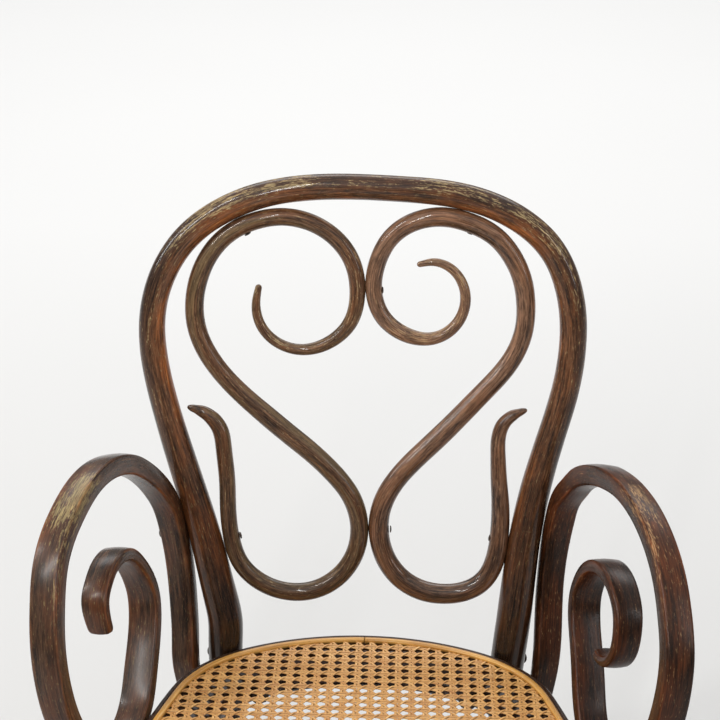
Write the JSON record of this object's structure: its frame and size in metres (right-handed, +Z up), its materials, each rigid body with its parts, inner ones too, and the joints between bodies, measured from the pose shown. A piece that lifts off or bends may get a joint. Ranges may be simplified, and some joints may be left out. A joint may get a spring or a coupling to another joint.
{
  "type": "rocking chair",
  "caption": "Bentwood rocking armchair with a tall bow back filled by mirrored scrolls, volute arms, a woven cane seat and curved runners.",
  "frame": {"origin": "on the floor, under the middle of the chair's bounding box", "axes": "+Z up; the sitter faces -Y; +X is to the right as seen from in front"},
  "size_m": [0.549, 0.8388, 0.8624],
  "materials": {
    "frame_wood": "dark stained beech under worn satin varnish, rubbed olive on the shoulders",
    "scroll_wood": "dark olive-brown stained beech, satin varnish",
    "arm_wood": "dark stained beech, satin varnish rubbed pale on the outer front faces",
    "seat_cane": "honey-coloured split cane, woven open, slight sheen",
    "binding_cane": "golden reed binding strip, satin",
    "screw_steel": "dull darkened steel with worn slots"
  },
  "bodies": {
    "root": {"back_bow": "frame_wood", "scroll_left": "scroll_wood", "scroll_right": "scroll_wood", "screw_scroll_pair_upper": "screw_steel", "screw_scroll_pair_lower": "screw_steel", "screw_scroll_bow_upper_left": "screw_steel", "screw_scroll_bow_lower_left": "screw_steel", "screw_scroll_bow_upper_right": "screw_steel", "screw_scroll_bow_lower_right": "screw_steel", "seat_frame": "frame_wood", "seat_binding": "binding_cane", "cane_web": "seat_cane", "arm_left": "arm_wood", "screw_arm_left_post": "screw_steel", "screw_arm_left_foot": "screw_steel", "screw_arm_left_frame": "screw_steel", "arm_right": "arm_wood", "screw_arm_right_post": "screw_steel", "screw_arm_right_foot": "screw_steel", "screw_arm_right_frame": "screw_steel", "front_leg_left": "frame_wood", "front_leg_right": "frame_wood", "runner_left": "frame_wood", "screw_runner_left_front": "screw_steel", "screw_runner_left_rear": "screw_steel", "runner_right": "frame_wood", "screw_runner_right_front": "screw_steel", "screw_runner_right_rear": "screw_steel", "front_stretcher": "frame_wood", "rear_stretcher": "frame_wood", "stretcher_hoop": "frame_wood", "screw_hoop_rear_left": "screw_steel", "screw_hoop_rear_right": "screw_steel", "screw_hoop_front_left": "screw_steel", "screw_hoop_front_right": "screw_steel", "bolt_post_left": "screw_steel", "washer_post_left": "screw_steel", "nut_post_left": "screw_steel", "bolt_post_right": "screw_steel", "washer_post_right": "screw_steel", "nut_post_right": "screw_steel"}
  },
  "joints": []
}
